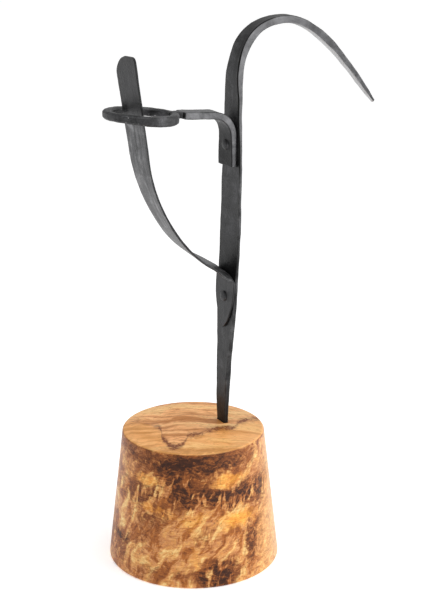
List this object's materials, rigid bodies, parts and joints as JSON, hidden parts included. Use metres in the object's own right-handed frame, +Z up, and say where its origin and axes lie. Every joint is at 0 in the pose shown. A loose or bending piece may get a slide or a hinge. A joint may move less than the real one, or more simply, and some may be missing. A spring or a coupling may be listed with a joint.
{
  "type": "spring candlestick",
  "caption": "Forged iron spring candlestick with a hanging hook and a riveted candle ring, set in a turned wooden base",
  "frame": {"origin": "centre of the round underside of the wooden base", "axes": "+Z up; -X from the stem towards the candle ring and the spring, the hook reaches towards +X; Y along the hinge line of the spring"},
  "size_m": [0.174, 0.1, 0.3126],
  "materials": {
    "burl_wood": "satin",
    "forged_iron": "dark scaled, worn bright at the edges",
    "spring_iron": "grey, streaked along its length"
  },
  "bodies": {
    "root": {"wooden_base": "burl_wood", "stem_with_hook": "forged_iron", "ring_bracket": "forged_iron", "bracket_rivet": "forged_iron", "spring_foot": "spring_iron", "spring_rivet": "forged_iron"},
    "blade": {"spring_blade": "spring_iron"}
  },
  "joints": [
    {"name": "blade_flex", "type": "hinge", "parent": "root", "child": "blade", "pos_m": [0.0205, 0, 0.1684], "axis": [0, -1, 0], "range_deg": [-2, 2.7], "stiffness_Nm_per_rad": 9.5}
  ]
}
